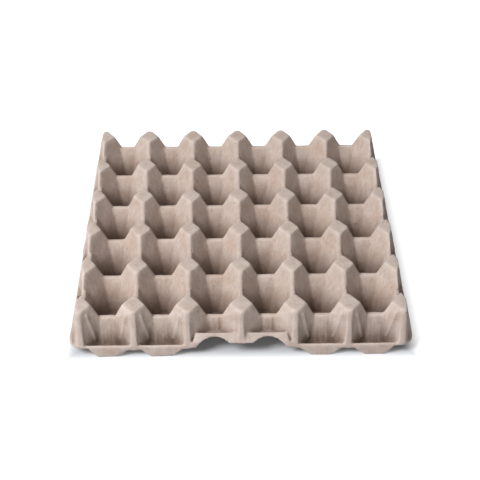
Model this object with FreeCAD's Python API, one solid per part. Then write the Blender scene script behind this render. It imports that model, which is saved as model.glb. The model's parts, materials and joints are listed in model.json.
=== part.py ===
# A moulded pulp egg tray, one piece: five rows of six wells.
#
# Wet paper pulp is drawn onto a mesh mould and dried, so the tray is one sheet
# of nearly even thickness that never turns under itself. Each well is a funnel
# with eight walls. Between wells the sheet folds over low saddles, and at every
# corner of the grid it rises into a hollow post with a diamond top. Outside the
# outer wells, niches lie between the ribs of the outer posts, each with a pocket
# behind a standing rim. A skirt hangs from the rim, with a lobe under each niche,
# and in places a raised apron with arches for the fingers takes its place.
#
# Millimetres, +Z up. The origin is the middle of the footprint, on the table.
# X runs along the sides that are six wells long, Y along those of five.
#
# The tray is its upper form, a solid whose top is the upper face of the sheet,
# less its lower form, the same solid with each face sunk by one wall.
import FreeCAD
import Part
import math
import os

# Grid of wells
COLUMNS = 6
ROWS = 5
PITCH_X = 45.5
PITCH_Y = 52.5

# Whole tray
HEIGHT = 46.0
WALL = 2.0
MARGIN_X = 11.0
MARGIN_Y = 16.25
FOOT_RADIUS = 12.0

# Wells, and the saddles and posts between them
FLOOR_X = 22.0
FLOOR_Y = 24.0
SADDLE_Z = 32.5
SADDLE_WIDTH = 13.0
CREST = 3.6
CREST_CORE = 0.1
POST_X = 19.0
POST_Y = 24.0
POST_CORNER = 2.4

# Ribs down the outer posts: how far out their tops stand, and their widths at
# the top and the foot, on the six-well sides and then on the others
RIB_OUT_Y = 10.5
RIB_TOP_Y = 3.5
RIB_FOOT_Y = 6.0
RIB_OUT_X = 3.0
RIB_TOP_X = 9.0
RIB_FOOT_X = 10.0

# Niches between the ribs: the rim, the pocket behind it and the flanks
RIM_Z = 11.5
RIM = 2.2
POCKET_Z = 6.0
POCKET_Y = 6.5
POCKET_X = 4.0
NICHE_FLANK = 12.75
POCKET_FLANK = 9.75

# Skirt and its lobes
SKIRT_DRAFT = 0.04
SKIRT_CLEAR = 0.4
LOBE_FLAT = 17.5
LOBE_SPAN = 34.0
LOBE_GAP = 7.0
CORNER_GAP = 9.0

# Finger arches: two cells wide on the six-well sides, one on the others
ARCH_CELLS_X = 2
ARCH_CELLS_Y = 1
ARCH_END = 7.3
ARCH_END_SLOPE = 0.36
ARCH_CREASE_Z = 22.8
ARCH_LIP_Z = 15.0
ARCH_DEPTH = 4.0
ARCH_VALLEY = 5.5
ARCH_WALL_OUT = 1.2
ARCH_WALL_FLAT = 8.0
ARCH_CROWN_Z = 19.2
ARCH_CUT = 0.5
ARCH_FOOT_Z = 9.0
ARCH_MIDDLE_Z = 13.5
ARCH_SPAN = 31.0

# Worked out from the sizes above
HALF_X = COLUMNS * PITCH_X / 2
HALF_Y = ROWS * PITCH_Y / 2
FOOT_X = HALF_X + MARGIN_X
FOOT_Y = HALF_Y + MARGIN_Y
BELOW = 5.0
CLEAR = 8.0


def vector(x, y, z):
    return FreeCAD.Vector(x, y, z)


def solid_from_faces(outlines):
    """A closed solid from flat outlines, each a list of points."""
    faces = []
    for outline in outlines:
        faces.append(Part.Face(Part.makePolygon(outline + [outline[0]])))
    solid = Part.Solid(Part.Shell(faces))
    if solid.Volume < 0:
        solid.reverse()
    return solid


def block(lower, upper):
    """A solid between two outlines whose matching edges are parallel."""
    outlines = [lower, upper]
    for i in range(len(lower)):
        j = (i + 1) % len(lower)
        outlines.append([lower[i], lower[j], upper[j], upper[i]])
    return solid_from_faces(outlines)


def prism(section, place, run):
    """A flat section, placed point by point by a function, swept along a run."""
    points = [place(a, b) for a, b in section]
    return Part.Face(Part.makePolygon(points + [points[0]])).extrude(run)


def fuse(shapes):
    return shapes[0].multiFuse(shapes[1:]).removeSplitter()


def well_slope(pitch, floor):
    """How far a well's wall leans out for each millimetre of height."""
    return (pitch / 2 - floor / 2 - CREST / 2) / (SADDLE_Z - WALL)


def base(sunk):
    """The upper form stands on the table, and the lower form runs on below it."""
    return -BELOW if sunk else 0.0


def ridge_section(slope, sunk):
    """The section of the ridge between two wells."""
    half = CREST / 2 - sunk * (math.hypot(1, slope) - slope)
    top = SADDLE_Z - sunk
    foot = half + slope * (top - base(sunk))
    if half <= 0:
        return [(-foot, base(sunk)), (foot, base(sunk)), (0, top + half / slope)]
    return [(-foot, base(sunk)), (foot, base(sunk)), (half, top), (-half, top)]


def post_slope():
    """How far a post's corner along X leans out for each millimetre of height."""
    return (PITCH_X / 2 - SADDLE_WIDTH / 2 - POST_X / 2) / (HEIGHT - SADDLE_Z)


def post(x, y, sunk):
    """One hollow post: a steep pyramid with a diamond top and blunt corners."""
    ratio = POST_Y / POST_X
    lean = post_slope() * ratio / math.hypot(1, ratio)
    shrink = sunk * math.hypot(1, lean) * math.hypot(1, ratio) / ratio

    def outline(z):
        a = POST_X / 2 + post_slope() * (HEIGHT - z) - shrink
        b = a * ratio
        blunt = POST_CORNER / 2
        corners = []
        for sx, sy in ((1, 1), (-1, 1), (-1, -1), (1, -1)):
            near_x = vector(x + sx * (a - blunt / ratio), y + sy * blunt, z)
            near_y = vector(x + sx * blunt, y + sy * (b - blunt * ratio), z)
            corners += [near_x, near_y] if sx == sy else [near_y, near_x]
        return corners

    return block(outline(base(sunk)), outline(HEIGHT - sunk))


def side_frames():
    """The four sides: half run, pitch, count, margin and a placing function.

    The function takes the distance along the side, the distance out from the
    line of the outer posts, and the height.
    """
    along_x = dict(pitch=PITCH_X, count=COLUMNS, margin=MARGIN_Y, arches=ARCH_CELLS_X,
                   half=HALF_X, post_across=POST_X, rib_out=RIB_OUT_Y, rib_top=RIB_TOP_Y,
                   rib_foot=RIB_FOOT_Y, pocket=POCKET_Y)
    along_y = dict(pitch=PITCH_Y, count=ROWS, margin=MARGIN_X, arches=ARCH_CELLS_Y,
                   half=HALF_Y, post_across=POST_Y, rib_out=RIB_OUT_X, rib_top=RIB_TOP_X,
                   rib_foot=RIB_FOOT_X, pocket=POCKET_X)
    return [
        dict(along_x, place=lambda s, v, z: vector(s, -HALF_Y - v, z)),
        dict(along_x, place=lambda s, v, z: vector(s, HALF_Y + v, z)),
        dict(along_y, place=lambda s, v, z: vector(-HALF_X - v, s, z)),
        dict(along_y, place=lambda s, v, z: vector(HALF_X + v, s, z)),
    ]


def skirt_out(side, z):
    """How far the skirt's outer face stands out from the line of outer posts."""
    return side["margin"] - SKIRT_DRAFT * z


def envelope(sunk):
    """The space inside the skirt's outer face and the fronts of the ribs."""
    front, _, left, _ = side_frames()

    def rectangle(out_x, out_y, z):
        x = HALF_X + out_x
        y = HALF_Y + out_y
        return [vector(-x, -y, z), vector(x, -y, z), vector(x, y, z), vector(-x, y, z)]

    def rib_out(side, z):
        top = side["rib_out"]
        lean = (skirt_out(side, RIM_Z) - top) / (HEIGHT - RIM_Z)
        return top + lean * (HEIGHT - z) - sunk * math.hypot(1, lean)

    def skirt_face(side, z):
        return skirt_out(side, z) - sunk * math.hypot(1, SKIRT_DRAFT)

    rim = RIM_Z - sunk
    top = HEIGHT - sunk
    ribs = block(rectangle(rib_out(left, rim), rib_out(front, rim), rim),
                 rectangle(rib_out(left, top), rib_out(front, top), top))
    low = base(sunk)
    foot = block(rectangle(skirt_face(left, low), skirt_face(front, low), low),
                 rectangle(skirt_face(left, rim), skirt_face(front, rim), rim))
    upright = [e for e in foot.Edges if abs(e.tangentAt(e.FirstParameter).z) > 0.5]
    rounded = foot.makeFillet(FOOT_RADIUS - sunk, upright)
    return Part.Solid(rounded.Shells[0]).fuse(ribs)


def facet_normal(points, middle):
    """The unit normal of a facet, turned away from the middle of its hollow."""
    total = vector(0, 0, 0)
    for i in range(len(points)):
        total += points[i].cross(points[(i + 1) % len(points)])
    total.normalize()
    return total if total.dot(points[0] - middle) > 0 else total * -1


def sink(corners, skins, sunk):
    """Corners of a hollow after each skin facet beside them has moved out."""
    middle = vector(0, 0, 0)
    for point in corners.values():
        middle += point * (1 / len(corners))
    moved = {}
    for name, point in corners.items():
        rows = [[1e-3 if i == j else 0.0 for j in range(3)] for i in range(3)]
        pull = vector(0, 0, 0)
        for skin in skins:
            if name in skin:
                n = facet_normal([corners[k] for k in skin], middle)
                pull += n * sunk
                for i in range(3):
                    for j in range(3):
                        rows[i][j] += n[i] * n[j]
        matrix = FreeCAD.Matrix(*rows[0], 0, *rows[1], 0, *rows[2], 0, 0, 0, 0, 1)
        moved[name] = point + matrix.inverse().multVec(pull)
    return moved


def niche_corners(side, has_arch):
    """The corners of the right half of a niche, from its middle plane out."""
    half = side["pitch"] / 2
    ratio = side["post_across"] / POST_X
    saddle = half - side["post_across"] / 2 - post_slope() * ratio * (HEIGHT - SADDLE_Z)
    rim = skirt_out(side, RIM_Z) - RIM
    if has_arch:
        hollow = vector(ARCH_WALL_FLAT / 2, CREST / 2 + ARCH_WALL_OUT, RIM_Z)
    else:
        hollow = vector(half - NICHE_FLANK, rim - side["pocket"], POCKET_Z)
    return {
        "post": vector(half - side["post_across"] / 2, 0, HEIGHT),
        "saddle": vector(saddle, 0, SADDLE_Z),
        "brow": vector(saddle, CREST / 2, SADDLE_Z),
        "hollow": hollow,
        "heel": vector(half - POCKET_FLANK, rim, hollow.z),
        "toe": vector(half - side["rib_foot"] / 2, rim, RIM_Z),
        "rib": vector(half - side["rib_top"] / 2, side["rib_out"], HEIGHT),
    }


def niche(side, middle, sunk):
    """The hollow outside one outer well: over its saddle, and down its pocket."""
    has_arch = middle in arch_cells(side)
    right = niche_corners(side, has_arch)
    corners = {}
    for name, point in right.items():
        corners["right " + name] = point
        corners["left " + name] = vector(-point.x, point.y, point.z)
    flanks = [("post", "saddle", "brow"), ("post", "brow", "rib"), ("rib", "brow", "hollow"),
              ("rib", "hollow", "toe"), ("toe", "hollow", "heel")]
    skins = [["left saddle", "right saddle", "right brow", "left brow"],
             ["left brow", "right brow", "right hollow", "left hollow"],
             ["left hollow", "right hollow", "right heel", "left heel"]]
    for flank in flanks:
        skins.append(["right " + name for name in flank])
        skins.append(["left " + name for name in flank])
    lean = (right["hollow"].y - right["brow"].y) / (SADDLE_Z - right["hollow"].z)
    drawn_in = sunk * (math.hypot(1, lean) - lean)
    corners = sink(corners, skins, sunk)
    for hand in ("left ", "right "):
        for name in ("brow", "hollow"):
            corners[hand + name].y = max(right[name].y - drawn_in, CREST_CORE)
        for name in ("post", "saddle"):
            corners[hand + name].y = 0
        for name in ("saddle", "brow", "hollow"):
            corners[hand + name].z = right[name].z - sunk
        corners[hand + "heel"].z = right["heel"].z - sunk
        post_point = corners[hand + "post"]
        rib = corners[hand + "rib"]
        above = HEIGHT + CLEAR
        far = side["margin"] + CLEAR
        corners[hand + "post above"] = vector(post_point.x, 0, above)
        corners[hand + "rib above"] = vector(rib.x, rib.y, above)
        corners[hand + "far rib above"] = vector(rib.x, far, above)
        for name in ("rib", "toe", "heel"):
            point = corners[hand + name]
            corners[hand + "far " + name] = vector(point.x, far, point.z)
    facets = list(skins)
    facets[2] = ["left hollow", "right hollow", "right heel", "right far heel", "left far heel",
                 "left heel"]
    facets.append(["left post above", "left post", "left saddle", "right saddle", "right post",
                   "right post above"])
    facets.append(["left far rib", "right far rib", "right far toe", "right far heel",
                   "left far heel", "left far toe"])
    facets.append(["left far rib above", "right far rib above", "right far rib", "left far rib"])
    facets.append(["left post above", "right post above", "right rib above",
                   "right far rib above", "left far rib above", "left rib above"])
    for hand in ("left ", "right "):
        for names in (("post", "rib", "rib above", "post above"),
                      ("rib", "far rib", "far rib above", "rib above"),
                      ("rib", "toe", "far toe", "far rib"),
                      ("toe", "heel", "far heel", "far toe")):
            facets.append([hand + name for name in names])
    place = side["place"]
    outlines = []
    for names in facets:
        outlines.append([place(middle + corners[n].x, corners[n].y, corners[n].z) for n in names])
    hollow = solid_from_faces(outlines)
    if sunk or has_arch:
        return hollow
    wide = side["pitch"] / 2
    rim = skirt_out(side, RIM_Z) - RIM
    outline = [(middle - wide, 0), (middle + wide, 0), (middle + wide, RIM_Z), (middle - wide, RIM_Z)]
    run = place(0, side["margin"] + 2 * CLEAR, 0) - place(0, 0, 0)
    return hollow.cut(prism(outline, lambda t, z: place(t, rim, z), run))


def corner_hollow(sx, sy, sunk):
    """The space outside the slanting face of a corner post, above the rim."""
    front, _, left, _ = side_frames()
    top = HEIGHT - sunk
    rim = RIM_Z - sunk
    lip_x = skirt_out(left, RIM_Z)
    lip_y = skirt_out(front, RIM_Z)
    corners = {
        "low x": vector(lip_x, 0, RIM_Z),
        "low front": vector(lip_x, RIB_FOOT_X / 2, RIM_Z),
        "low side": vector(RIB_FOOT_Y / 2, lip_y, RIM_Z),
        "low y": vector(0, lip_y, RIM_Z),
        "top x": vector(RIB_OUT_X, 0, HEIGHT),
        "top front": vector(RIB_OUT_X, RIB_TOP_X / 2, HEIGHT),
        "top side": vector(RIB_TOP_Y / 2, RIB_OUT_Y, HEIGHT),
        "top y": vector(0, RIB_OUT_Y, HEIGHT),
    }
    skins = [["low x", "low front", "top front", "top x"],
             ["low front", "low side", "top side"],
             ["low front", "top side", "top front"],
             ["low side", "low y", "top y", "top side"]]
    corners = sink(corners, skins, -sunk)
    rings = []
    for level, z in (("low ", rim), ("top ", top)):
        ring = [vector(0, 0, z)]
        for name in ("x", "front", "side", "y"):
            point = corners[level + name]
            ring.append(vector(point.x, point.y, z))
        ring[1].x = ring[2].x
        ring[1].y = 0
        ring[4].x = 0
        ring[4].y = ring[3].y
        rings.append(ring)
    low, high = rings
    outlines = [low, high, [low[2], low[3], high[3]], [low[2], high[3], high[2]]]
    for i, j in ((0, 1), (1, 2), (3, 4), (4, 0)):
        outlines.append([low[i], low[j], high[j], high[i]])
    column = solid_from_faces(outlines)
    reach = MARGIN_X + MARGIN_Y + CLEAR
    space = Part.makeBox(reach, reach, HEIGHT + CLEAR - rim, vector(0, 0, rim)).cut(column)
    if sx < 0:
        space = space.mirror(vector(0, 0, 0), vector(1, 0, 0))
    if sy < 0:
        space = space.mirror(vector(0, 0, 0), vector(0, 1, 0))
    space.translate(vector(sx * HALF_X, sy * HALF_Y, 0))
    return space


def arch_cells(side):
    """The places along a side of the wells that have an arch under them."""
    places = []
    for i in range(side["count"]):
        middle = (i - (side["count"] - 1) / 2) * side["pitch"]
        if abs(middle) < side["arches"] * side["pitch"] / 2:
            places.append(middle)
    return places


def arch_crease(side):
    """How far out the fold along the top of the raised apron lies."""
    return skirt_out(side, ARCH_LIP_Z) - ARCH_DEPTH


def vault(side, sunk):
    """The raised apron over a side's finger arches, with its ends sloping down."""
    crease = arch_crease(side)
    valley_z = ARCH_CREASE_Z - ARCH_VALLEY
    points = [(skirt_out(side, base(sunk)), base(sunk)), (skirt_out(side, ARCH_LIP_Z), ARCH_LIP_Z),
              (crease, ARCH_CREASE_Z), (crease - ARCH_VALLEY, valley_z), (0, valley_z)]
    section = sunk_path(points, sunk)
    section[0] = (section[0][0], base(sunk))
    section[-1] = (0, section[-1][1])
    section.append((0, base(sunk)))
    places = arch_cells(side)
    half = places[-1] + side["pitch"] / 2 - ARCH_END
    slope = ARCH_END_SLOPE
    low = base(sunk)
    high = HEIGHT
    foot = half + slope * (ARCH_CREASE_Z - low) - sunk * math.hypot(1, slope)
    head = half + slope * (ARCH_CREASE_Z - high) - sunk * math.hypot(1, slope)
    place = side["place"]
    length = place(2 * foot, 0, 0) - place(0, 0, 0)
    body = prism(section, lambda v, z: place(-foot, v, z), length)
    run = place(0, side["margin"] + 2 * CLEAR, 0) - place(0, -CLEAR, 0)
    ends = prism([(-foot, low), (foot, low), (head, high), (-head, high)],
                 lambda t, z: place(t, -CLEAR, z), run)
    return body.common(ends)


def sunk_path(points, distance):
    """An open path of (across, height) points moved to its inner side."""
    lines = []
    for (a, b), (c, d) in zip(points, points[1:]):
        length = math.hypot(c - a, d - b)
        normal = (-(d - b) / length, (c - a) / length)
        lines.append((a + normal[0] * distance, b + normal[1] * distance, c - a, d - b))
    first = lines[0]
    last = lines[-1]
    path = [(first[0], first[1])]
    for (a, b, u, w), (c, d, p, q) in zip(lines, lines[1:]):
        t = ((c - a) * q - (d - b) * p) / (u * q - w * p)
        path.append((a + t * u, b + t * w))
    path.append((last[0] + last[2], last[1] + last[3]))
    return path


def skirt_gaps(side):
    """What the skirt leaves open over the table: between lobes and at arches."""
    half = side["half"] + side["margin"] + CLEAR
    arches = arch_cells(side)
    profile = [(-half, -BELOW), (-half, CORNER_GAP)]
    gap = CORNER_GAP
    for i in range(side["count"]):
        middle = (i - (side["count"] - 1) / 2) * side["pitch"]
        if middle in arches:
            profile += [(middle - ARCH_SPAN / 2, ARCH_FOOT_Z), (middle + ARCH_SPAN / 2, ARCH_FOOT_Z)]
        else:
            after = CORNER_GAP if i == side["count"] - 1 else LOBE_GAP
            profile += [(middle - LOBE_SPAN / 2, gap), (middle - LOBE_FLAT / 2, 0),
                        (middle + LOBE_FLAT / 2, 0), (middle + LOBE_SPAN / 2, after)]
        gap = LOBE_GAP
    profile += [(half, CORNER_GAP), (half, -BELOW)]
    place = side["place"]
    inner = skirt_out(side, RIM_Z) - WALL * math.hypot(1, SKIRT_DRAFT) - SKIRT_CLEAR
    run = place(0, side["margin"] + CLEAR, 0) - place(0, inner, 0)
    gaps = [prism(profile, lambda t, z: place(t, inner, z), run)]
    deep = arch_crease(side) - ARCH_CUT
    run = place(0, side["margin"] + CLEAR, 0) - place(0, deep, 0)
    for middle in arches:
        ends = [place(middle - ARCH_SPAN / 2, deep, ARCH_FOOT_Z),
                place(middle + ARCH_SPAN / 2, deep, ARCH_FOOT_Z)]
        arc = Part.Arc(ends[0], place(middle, deep, ARCH_CROWN_Z), ends[1]).toShape()
        chord = Part.LineSegment(ends[1], ends[0]).toShape()
        gaps.append(Part.Face(Part.Wire([arc, chord])).extrude(run))
        lower = [(middle - ARCH_SPAN / 2, -BELOW), (middle + ARCH_SPAN / 2, -BELOW),
                 (middle + ARCH_SPAN / 2, ARCH_FOOT_Z), (middle - ARCH_SPAN / 2, ARCH_FOOT_Z)]
        gaps.append(prism(lower, lambda t, z: place(t, deep, z), run))
    if len(arches) > 1:
        between = [(arches[0], -BELOW), (arches[-1], -BELOW),
                   (arches[-1], ARCH_MIDDLE_Z), (arches[0], ARCH_MIDDLE_Z)]
        gaps.append(prism(between, lambda t, z: place(t, deep, z), run))
    return gaps


def form(sunk):
    """The solid under the upper face of the sheet, or under its lower face."""
    sides = side_frames()
    low = base(sunk)
    parts = []
    slope_x = well_slope(PITCH_X, FLOOR_X)
    slope_y = well_slope(PITCH_Y, FLOOR_Y)
    for i in range(COLUMNS + 1):
        x = (i - COLUMNS / 2) * PITCH_X
        parts.append(prism(ridge_section(slope_x, sunk), lambda a, z: vector(x + a, -HALF_Y, z),
                           vector(0, 2 * HALF_Y, 0)))
    for j in range(ROWS + 1):
        y = (j - ROWS / 2) * PITCH_Y
        parts.append(prism(ridge_section(slope_y, sunk), lambda a, z: vector(-HALF_X, y + a, z),
                           vector(2 * HALF_X, 0, 0)))
    for i in range(COLUMNS + 1):
        for j in range(ROWS + 1):
            parts.append(post((i - COLUMNS / 2) * PITCH_X, (j - ROWS / 2) * PITCH_Y, sunk))
    outer = Part.makeBox(2 * FOOT_X + 2, 2 * FOOT_Y + 2, HEIGHT - sunk - low,
                         vector(-FOOT_X - 1, -FOOT_Y - 1, low))
    inner = Part.makeBox(2 * HALF_X, 2 * HALF_Y, HEIGHT - low, vector(-HALF_X, -HALF_Y, low))
    parts.append(outer.cut(inner))
    if not sunk:
        parts.append(Part.makeBox(2 * FOOT_X, 2 * FOOT_Y, WALL, vector(-FOOT_X, -FOOT_Y, 0)))
    body = fuse(parts).common(envelope(sunk))
    hollows = []
    for side in sides:
        for i in range(side["count"]):
            hollows.append(niche(side, (i - (side["count"] - 1) / 2) * side["pitch"], sunk))
    for sx in (-1, 1):
        for sy in (-1, 1):
            hollows.append(corner_hollow(sx, sy, sunk))
    body = body.cut(hollows)
    return fuse([body] + [vault(side, sunk) for side in sides])


def tray():
    """The whole sheet: the upper form less the lower one, and the skirt's gaps."""
    gaps = []
    for side in side_frames():
        gaps += skirt_gaps(side)
    for sx in (-1, 1):
        for sy in (-1, 1):
            gap = Part.makeBox(FOOT_RADIUS, FOOT_RADIUS, CORNER_GAP)
            gap.translate(vector(sx * (FOOT_X - FOOT_RADIUS / 2) - FOOT_RADIUS / 2,
                                 sy * (FOOT_Y - FOOT_RADIUS / 2) - FOOT_RADIUS / 2, 0))
            gaps.append(gap)
    sheet = form(0.0).cut(form(WALL))
    return sheet.cut(gaps)


os.makedirs("parts", exist_ok=True)
shape = tray()
shape.exportStep("parts/tray.step")
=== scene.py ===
import bpy
import json
import math
from mathutils import Matrix, Vector

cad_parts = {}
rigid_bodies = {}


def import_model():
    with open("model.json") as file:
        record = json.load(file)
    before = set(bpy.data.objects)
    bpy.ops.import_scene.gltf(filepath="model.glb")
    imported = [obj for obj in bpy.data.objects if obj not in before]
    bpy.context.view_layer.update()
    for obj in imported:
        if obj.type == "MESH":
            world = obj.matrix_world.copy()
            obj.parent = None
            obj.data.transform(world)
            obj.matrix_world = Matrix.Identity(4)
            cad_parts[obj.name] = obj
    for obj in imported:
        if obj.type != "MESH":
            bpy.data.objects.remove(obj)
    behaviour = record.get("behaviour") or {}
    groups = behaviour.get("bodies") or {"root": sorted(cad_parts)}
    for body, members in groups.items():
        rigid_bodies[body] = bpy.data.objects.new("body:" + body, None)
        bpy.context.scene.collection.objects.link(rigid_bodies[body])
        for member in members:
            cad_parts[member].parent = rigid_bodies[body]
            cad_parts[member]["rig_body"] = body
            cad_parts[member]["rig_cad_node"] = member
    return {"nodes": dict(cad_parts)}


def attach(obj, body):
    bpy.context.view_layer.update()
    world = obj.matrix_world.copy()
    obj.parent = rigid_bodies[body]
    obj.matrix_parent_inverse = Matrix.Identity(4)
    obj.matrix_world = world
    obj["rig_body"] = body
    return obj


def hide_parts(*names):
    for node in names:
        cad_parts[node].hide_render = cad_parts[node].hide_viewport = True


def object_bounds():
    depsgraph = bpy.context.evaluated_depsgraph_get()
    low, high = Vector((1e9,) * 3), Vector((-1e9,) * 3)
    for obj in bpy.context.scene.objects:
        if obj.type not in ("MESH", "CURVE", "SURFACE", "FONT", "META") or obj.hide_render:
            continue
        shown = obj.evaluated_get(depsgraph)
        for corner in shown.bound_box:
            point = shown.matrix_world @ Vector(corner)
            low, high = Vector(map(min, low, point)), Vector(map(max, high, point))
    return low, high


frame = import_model()
cad_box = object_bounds()

# The moulded sheet. The real tray is one sheet of grey-brown paper pulp, drawn
# wet onto a mesh mould and dried hot, so every fold is soft and the wall is a
# little uneven. It starts from the tray's own solid, which gives every size.
PULP_GRAIN = 0.0008
TRIANGLES = 190000

bpy.ops.object.select_all(action="DESELECT")
moulded = frame["nodes"]["tray"]
moulded.select_set(True)
bpy.context.view_layer.objects.active = moulded
bpy.ops.object.duplicate()
sheet = bpy.context.view_layer.objects.active
sheet.name = "pulp_sheet"
sheet.data.name = "pulp_sheet"
sheet.parent = None
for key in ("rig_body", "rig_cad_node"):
    if key in sheet:
        del sheet[key]
bpy.ops.object.mode_set(mode="EDIT")
bpy.ops.mesh.select_all(action="SELECT")
bpy.ops.mesh.remove_doubles(threshold=0.00001)
bpy.ops.object.mode_set(mode="OBJECT")

# Moulded flutes. Low round ridges that the mould leaves on the outer walls, to
# stiffen them: upright ones under each saddle, a slanting one on each flank, and
# a fine pair down the front of each rib. They are pressed in one with the sheet.
PITCH_X = 0.0455
PITCH_Y = 0.0525
WELLS_ACROSS = 6
WELLS_DEEP = 5
HEIGHT = 0.046
SADDLE_Z = 0.0325
CREST_HALF = 0.0018
RIM_Z = 0.0115
POCKET_Z = 0.006
UPRIGHT_RADIUS = 0.0007
UPRIGHT_STEPS = (-0.0042, -0.0012, 0.0012, 0.0045)
UPRIGHT_DROP = 0.0015
ARCH_STEPS = (-0.0022, 0.0, 0.0024)
ARCH_DROP = 0.001
ARCH_OUT_TOP = 0.0001
ARCH_OUT_FOOT = 0.0008
ARCH_RISE = 0.005
SLANT_RADIUS = 0.0015
SLANT_SUNK_TOP = 0.0005
SLANT_SUNK_FOOT = 0.0003
LINE_RADIUS = 0.00055
LINE_SUNK = 0.0002
LINE_DROP = 0.001
LINE_SPREAD = 1.8
flutes = []


def flute(side, start, end, radius):
    """A round ridge on one side, between two (along, out, up) places."""
    ends = []
    for along, out, up in (start, end):
        turned = side["turn"] @ Vector((along, -side["reach"] - out, 0.0))
        ends.append(Vector((turned.x, turned.y, up)))
    run = ends[1] - ends[0]
    bpy.ops.object.select_all(action="DESELECT")
    bpy.ops.mesh.primitive_cylinder_add(vertices=10, radius=radius, depth=run.length,
                                        location=(ends[0] + ends[1]) / 2,
                                        rotation=run.to_track_quat("Z", "Y").to_euler())
    flutes.append(bpy.context.view_layer.objects.active)


def flank_out(along, up, side):
    """How far out a niche's flank stands, at a place along it and a height."""
    rib = Vector((side["rib_top"][0], side["rib_top"][1], HEIGHT))
    brow = Vector((side["saddle_half"], CREST_HALF, SADDLE_Z))
    hollow = Vector((side["hollow"][0], side["hollow"][1], POCKET_Z))
    normal = (brow - rib).cross(hollow - rib)
    return rib.y - (normal.x * (along - rib.x) + normal.z * (up - rib.z)) / normal.y


long_side = dict(pitch=PITCH_X, count=WELLS_ACROSS, reach=WELLS_DEEP * PITCH_Y / 2, arches=(2, 3),
                 saddle_half=0.0065, hollow=(0.010, 0.00709), rib_top=(0.021, 0.0105),
                 rib_foot=0.0158, slants=((0.0168, 0.041), (0.0108, 0.012)), rib_line=0.0011)
short_side = dict(pitch=PITCH_Y, count=WELLS_DEEP, reach=WELLS_ACROSS * PITCH_X / 2, arches=(2,),
                  saddle_half=0.0057, hollow=(0.0135, 0.00434), rib_top=(0.02175, 0.003),
                  rib_foot=0.0105, slants=((0.0185, 0.041), (0.0138, 0.012)), rib_line=0.0034)
sides = []
for quarter, plan in enumerate((long_side, short_side, long_side, short_side)):
    sides.append(dict(plan, turn=Matrix.Rotation(math.radians(90.0 * quarter), 3, "Z")))

for side in sides:
    for cell in range(side["count"]):
        middle = (cell - (side["count"] - 1) / 2) * side["pitch"]
        if cell in side["arches"]:
            for step in ARCH_STEPS:
                flute(side, (middle + step, CREST_HALF + ARCH_OUT_TOP, SADDLE_Z - ARCH_DROP),
                      (middle + step, CREST_HALF + ARCH_OUT_FOOT, RIM_Z + ARCH_RISE), UPRIGHT_RADIUS)
            continue
        for step in UPRIGHT_STEPS:
            flute(side, (middle + step, CREST_HALF, SADDLE_Z - UPRIGHT_DROP),
                  (middle + step, side["hollow"][1], POCKET_Z), UPRIGHT_RADIUS)
        for hand in (-1.0, 1.0):
            (high, high_z), (low, low_z) = side["slants"]
            high_out = flank_out(high, high_z, side) - SLANT_SUNK_TOP
            low_out = flank_out(low, low_z, side) - SLANT_SUNK_FOOT
            flute(side, (middle + hand * high, high_out, high_z),
                  (middle + hand * low, low_out, low_z), SLANT_RADIUS)
    for post in range(1, side["count"]):
        middle = (post - side["count"] / 2) * side["pitch"]
        for hand in (-1.0, 1.0):
            top_out = side["rib_top"][1] - LINE_SUNK
            foot_out = side["rib_foot"] - LINE_SUNK
            flute(side, (middle + hand * side["rib_line"], top_out, HEIGHT - LINE_DROP),
                  (middle + hand * side["rib_line"] * LINE_SPREAD, foot_out, RIM_Z - LINE_DROP),
                  LINE_RADIUS)

bpy.ops.object.select_all(action="DESELECT")
for piece in flutes:
    piece.select_set(True)
sheet.select_set(True)
bpy.context.view_layer.objects.active = sheet
bpy.ops.object.join()


def finish_with(piece, kind, **settings):
    """Adds one modifier to a piece and applies it."""
    bpy.ops.object.select_all(action="DESELECT")
    piece.select_set(True)
    bpy.context.view_layer.objects.active = piece
    modifier = piece.modifiers.new(kind.lower(), kind)
    for name, value in settings.items():
        setattr(modifier, name, value)
    bpy.ops.object.modifier_apply(modifier=modifier.name)


finish_with(sheet, "REMESH", mode="VOXEL", voxel_size=PULP_GRAIN, use_smooth_shade=True)
finish_with(sheet, "SMOOTH", factor=0.5, iterations=2)

# Uneven drying: the wall wanders by a few tenths of a millimetre, and the
# surface is finely lumpy.
waves = bpy.data.textures.new("drying_waves", "CLOUDS")
waves.noise_scale = 0.014
waves.noise_depth = 1
finish_with(sheet, "DISPLACE", texture=waves, texture_coords="LOCAL", strength=0.0006, mid_level=0.5)
lumps = bpy.data.textures.new("pulp_lumps", "CLOUDS")
lumps.noise_scale = 0.0028
lumps.noise_depth = 1
finish_with(sheet, "DISPLACE", texture=lumps, texture_coords="LOCAL", strength=0.00025, mid_level=0.5)
faces = len(sheet.data.polygons) * 2
finish_with(sheet, "DECIMATE", ratio=min(1.0, TRIANGLES / faces))
bpy.ops.object.shade_smooth()

# It stands on the table and stays inside the size of the tray's solid.
lowest = min(v.co.z for v in sheet.data.vertices)
reach = [max(abs(v.co[i]) for v in sheet.data.vertices) for i in (0, 1)]
top = max(v.co.z for v in sheet.data.vertices) - lowest
bpy.ops.object.mode_set(mode="EDIT")
bpy.ops.mesh.select_all(action="SELECT")
bpy.ops.transform.translate(value=(0.0, 0.0, -lowest))
bpy.ops.transform.resize(value=(min(1.0, cad_box[1][0] / reach[0]),
                                min(1.0, cad_box[1][1] / reach[1]),
                                min(1.0, cad_box[1][2] / top)), center_override=(0.0, 0.0, 0.0))
bpy.ops.object.mode_set(mode="OBJECT")

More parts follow.
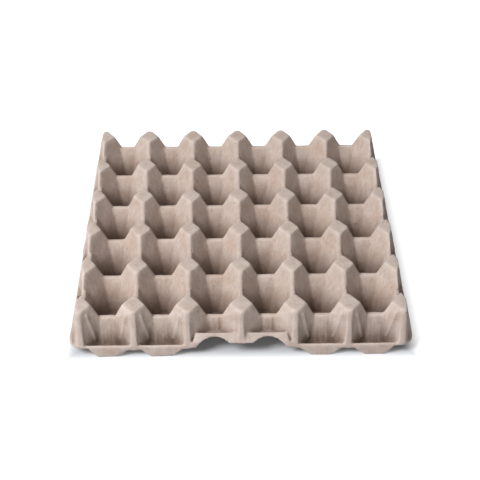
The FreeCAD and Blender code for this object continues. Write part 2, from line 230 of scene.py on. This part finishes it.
# Pulp finish. Grey-brown recycled paper: matt, mottled, full of short fibres,
# drawn out in faint streaks down the walls, with a few dark flecks of old print.
# Painted shade darkens its creases and the foot of its walls inside the rim, and its convex edges are
# toned paler.
pulp = bpy.data.materials.new("moulded_pulp")
pulp.use_nodes = True
nodes = pulp.node_tree.nodes
links = pulp.node_tree.links
shader = nodes["Principled BSDF"]
shader.inputs["Roughness"].default_value = 0.95
shader.inputs["Specular IOR Level"].default_value = 0.12
place = nodes.new("ShaderNodeTexCoord")


def noise(scale, detail, roughness=0.6, distortion=0.0, stretch=None):
    """A noise pattern on the piece's own coordinates, in patches per metre."""
    node = nodes.new("ShaderNodeTexNoise")
    node.inputs["Scale"].default_value = scale
    node.inputs["Detail"].default_value = detail
    node.inputs["Roughness"].default_value = roughness
    node.inputs["Distortion"].default_value = distortion
    source = place.outputs["Object"]
    if stretch:
        drawn = nodes.new("ShaderNodeMapping")
        drawn.inputs["Scale"].default_value = stretch
        links.new(source, drawn.inputs["Vector"])
        source = drawn.outputs["Vector"]
    links.new(source, node.inputs["Vector"])
    return node


def ramp(source, stops):
    """A colour ramp on a pattern, with its stops as (place, colour)."""
    node = nodes.new("ShaderNodeValToRGB")
    elements = node.color_ramp.elements
    while len(elements) < len(stops):
        elements.new(0.5)
    for element, (position, colour) in zip(elements, stops):
        element.position = position
        element.color = (*colour, 1.0)
    links.new(source, node.inputs["Fac"])
    return node


def sums(operation, first, second=None):
    """One step of sums on a pattern's values."""
    node = nodes.new("ShaderNodeMath")
    node.operation = operation
    links.new(first, node.inputs[0])
    if second is not None:
        links.new(second, node.inputs[1])
    return node.outputs[0]


def fade(source, whole, gone):
    """A soft step: one up to the first value, nothing past the second."""
    node = nodes.new("ShaderNodeMapRange")
    node.interpolation_type = "SMOOTHSTEP"
    node.inputs["From Min"].default_value = whole
    node.inputs["From Max"].default_value = gone
    node.inputs["To Min"].default_value = 1.0
    node.inputs["To Max"].default_value = 0.0
    links.new(source, node.inputs["Value"])
    return node.outputs["Result"]


def blend(kind, amount, below, above):
    """One colour laid over another."""
    node = nodes.new("ShaderNodeMix")
    node.data_type = "RGBA"
    node.blend_type = kind
    if isinstance(amount, float):
        node.inputs["Factor"].default_value = amount
    else:
        links.new(amount, node.inputs["Factor"])
    for socket, value in (("A", below), ("B", above)):
        target = [s for s in node.inputs if s.name == socket and s.type == "RGBA"][0]
        if isinstance(value, tuple):
            target.default_value = (*value, 1.0)
        else:
            links.new(value, target)
    return [s for s in node.outputs if s.type == "RGBA"][0]


PULP = (0.545, 0.445, 0.39)
PULP_WARM = (0.51, 0.395, 0.33)
PULP_PALE = (0.60, 0.505, 0.455)
# Painted shade colour, laid into the concave creases.
CREASE_SHADE = (0.20, 0.15, 0.12)
PALE_EDGE = (0.68, 0.585, 0.53)
FLECK = (0.10, 0.08, 0.07)
# Painted shade colour for the foot of the walls.
WALL_FOOT_SHADE = (0.42, 0.375, 0.35)
STREAK_DARK = (0.40, 0.395, 0.39)
STREAK_PALE = (0.60, 0.6, 0.6)
FIBRE_DARK = (0.34, 0.33, 0.32)
FIBRE_PALE = (0.64, 0.64, 0.64)
NONE = (0.0, 0.0, 0.0)
WHOLE = (1.0, 1.0, 1.0)
MOST = (0.8, 0.8, 0.8)
FOOT_DARKEST_Z = 0.007
FOOT_CLEAR_Z = 0.031
RIM_START_Y = 0.1405
RIM_FACE_Y = 0.1450
RIM_START_X = 0.1425
RIM_FACE_X = 0.1460
mottle = ramp(noise(70.0, 5.0).outputs["Fac"],
              [(0.32, PULP_WARM), (0.5, PULP), (0.7, PULP_PALE)])
streaks = noise(420.0, 4.0, 0.65, 0.0, (1.0, 1.0, 0.07))
streak_tone = ramp(streaks.outputs["Fac"], [(0.3, STREAK_DARK), (0.7, STREAK_PALE)])
colour = blend("OVERLAY", 0.55, mottle.outputs["Color"], streak_tone.outputs["Color"])
fibres = noise(750.0, 8.0, 0.75, 1.8)
fibre_tone = ramp(fibres.outputs["Fac"], [(0.34, FIBRE_DARK), (0.62, FIBRE_PALE)])
colour = blend("OVERLAY", 0.45, colour, fibre_tone.outputs["Color"])
parts = nodes.new("ShaderNodeSeparateXYZ")
links.new(place.outputs["Object"], parts.inputs["Vector"])
edges = nodes.new("ShaderNodeNewGeometry")
# Convex edges, found by pointiness, are toned paler.
pale_edges = ramp(edges.outputs["Pointiness"], [(0.50, NONE), (0.58, WHOLE)])
colour = blend("MIX", pale_edges.outputs["Color"], colour, PALE_EDGE)
# Painted shade: concave creases, found by pointiness, are darkened.
crease_shade = ramp(edges.outputs["Pointiness"], [(0.44, MOST), (0.49, NONE)])
colour = blend("MIX", crease_shade.outputs["Color"], colour, CREASE_SHADE)
# Painted shade: darker toward the foot of the walls, inside the rim line.
low_down = fade(parts.outputs["Z"], FOOT_DARKEST_Z, FOOT_CLEAR_Z)
inside_y = fade(sums("ABSOLUTE", parts.outputs["Y"]), RIM_START_Y, RIM_FACE_Y)
inside_x = fade(sums("ABSOLUTE", parts.outputs["X"]), RIM_START_X, RIM_FACE_X)
wall_foot_shade = sums("MULTIPLY", low_down, sums("MULTIPLY", inside_y, inside_x))
colour = blend("MULTIPLY", wall_foot_shade, colour, WALL_FOOT_SHADE)
cells = nodes.new("ShaderNodeTexVoronoi")
cells.inputs["Scale"].default_value = 95.0
links.new(place.outputs["Object"], cells.inputs["Vector"])
flecks = ramp(cells.outputs["Distance"], [(0.035, WHOLE), (0.055, NONE)])
colour = blend("MIX", flecks.outputs["Color"], colour, FLECK)
links.new(colour, shader.inputs["Base Color"])
grain = nodes.new("ShaderNodeBump")
grain.inputs["Strength"].default_value = 0.6
grain.inputs["Distance"].default_value = 0.0005
links.new(fibres.outputs["Fac"], grain.inputs["Height"])
drag = nodes.new("ShaderNodeBump")
drag.inputs["Strength"].default_value = 0.5
drag.inputs["Distance"].default_value = 0.0006
links.new(streaks.outputs["Fac"], drag.inputs["Height"])
links.new(grain.outputs["Normal"], drag.inputs["Normal"])
links.new(drag.outputs["Normal"], shader.inputs["Normal"])

sheet.data.materials.clear()
sheet.data.materials.append(pulp)
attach(sheet, "root")
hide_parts("tray")

# The studio. A white table under soft light: a wide lamp high on the left in
# front, a weaker one on the right, and a bright room all round.
# The table glows pure white to the camera alone; the glow fades out close round the tray, painting a
# darker band there that holds the real shadow.
SHADE_EDGE = 0.138
GLOW_EDGE = 0.161
GLOW_LEAST = 0.04
GLOW_FULL = 0.95
ROOM_LIGHT = 0.24
ROOM_SEEN = 1.0
bpy.ops.object.select_all(action="DESELECT")
bpy.ops.mesh.primitive_plane_add(size=12.0, location=(0.0, 0.0, 0.0))
table = bpy.context.view_layer.objects.active
table.name = "white_table"
white = bpy.data.materials.new("white_table")
white.use_nodes = True
table_nodes = white.node_tree.nodes
table_links = white.node_tree.links
table_shader = table_nodes["Principled BSDF"]
table_shader.inputs["Base Color"].default_value = (0.50, 0.51, 0.535, 1.0)
table_shader.inputs["Roughness"].default_value = 0.9
table_shader.inputs["Emission Color"].default_value = (1.0, 1.0, 1.0, 1.0)
table_place = table_nodes.new("ShaderNodeTexCoord")
from_middle = table_nodes.new("ShaderNodeSeparateXYZ")
table_links.new(table_place.outputs["Object"], from_middle.inputs["Vector"])


def table_sum(operation, first, second=None):
    """One step of sums on the table's coordinates."""
    node = table_nodes.new("ShaderNodeMath")
    node.operation = operation
    table_links.new(first, node.inputs[0])
    if second is not None:
        table_links.new(second, node.inputs[1])
    return node.outputs[0]


across = table_sum("ABSOLUTE", from_middle.outputs["X"])
deep_in = table_sum("ABSOLUTE", from_middle.outputs["Y"])
# Painted shade: the camera-only glow fades out near the tray.
glow = table_nodes.new("ShaderNodeMapRange")
glow.interpolation_type = "SMOOTHSTEP"
glow.inputs["From Min"].default_value = SHADE_EDGE
glow.inputs["From Max"].default_value = GLOW_EDGE
glow.inputs["To Min"].default_value = GLOW_LEAST
glow.inputs["To Max"].default_value = GLOW_FULL
table_links.new(table_sum("MAXIMUM", across, deep_in), glow.inputs["Value"])
seen = table_nodes.new("ShaderNodeLightPath")
lift = table_sum("MULTIPLY", glow.outputs["Result"], seen.outputs["Is Camera Ray"])
table_links.new(lift, table_shader.inputs["Emission Strength"])
table.data.materials.append(white)

room = bpy.data.worlds.new("bright_room")
bpy.context.scene.world = room
room.use_nodes = True
room_nodes = room.node_tree.nodes
room_links = room.node_tree.links
background = room_nodes["Background"]
background.inputs["Color"].default_value = (1.0, 1.0, 1.0, 1.0)
room_path = room_nodes.new("ShaderNodeLightPath")
room_strength = room_nodes.new("ShaderNodeMapRange")
room_strength.inputs["To Min"].default_value = ROOM_LIGHT
room_strength.inputs["To Max"].default_value = ROOM_SEEN
room_links.new(room_path.outputs["Is Camera Ray"], room_strength.inputs["Value"])
room_links.new(room_strength.outputs["Result"], background.inputs["Strength"])


def soft_lamp(name, place, size, watts):
    """A square soft box that faces the middle of the tray."""
    bpy.ops.object.light_add(type="AREA", location=place)
    lamp = bpy.context.view_layer.objects.active
    lamp.name = name
    lamp.data.size = size
    lamp.data.energy = watts
    lamp.rotation_euler = (Vector((0.0, 0.0, 0.03)) - Vector(place)).to_track_quat("-Z", "Y").to_euler()


soft_lamp("key_lamp", (-1.1, -0.85, 1.45), 0.7, 40.0)
soft_lamp("front_lamp", (0.4, -1.6, 0.9), 1.2, 2.5)

# The camera stands in front of the middle of the tray and looks down on it.
AIM = Vector((0.0003, -0.0453, 0.046))
DISTANCE = 0.9611
ELEVATION = math.radians(37.87)
TURN = math.radians(-0.9)
LENS = 79.7
back = Vector((math.sin(TURN) * math.cos(ELEVATION), -math.cos(TURN) * math.cos(ELEVATION),
               math.sin(ELEVATION)))
bpy.ops.object.camera_add(location=AIM + back * DISTANCE)
camera = bpy.context.view_layer.objects.active
camera.rotation_euler = (-back).to_track_quat("-Z", "Y").to_euler()
camera.data.lens = LENS
camera.data.sensor_width = 36.0
bpy.context.scene.camera = camera
bpy.context.scene.view_settings.view_transform = "Standard"
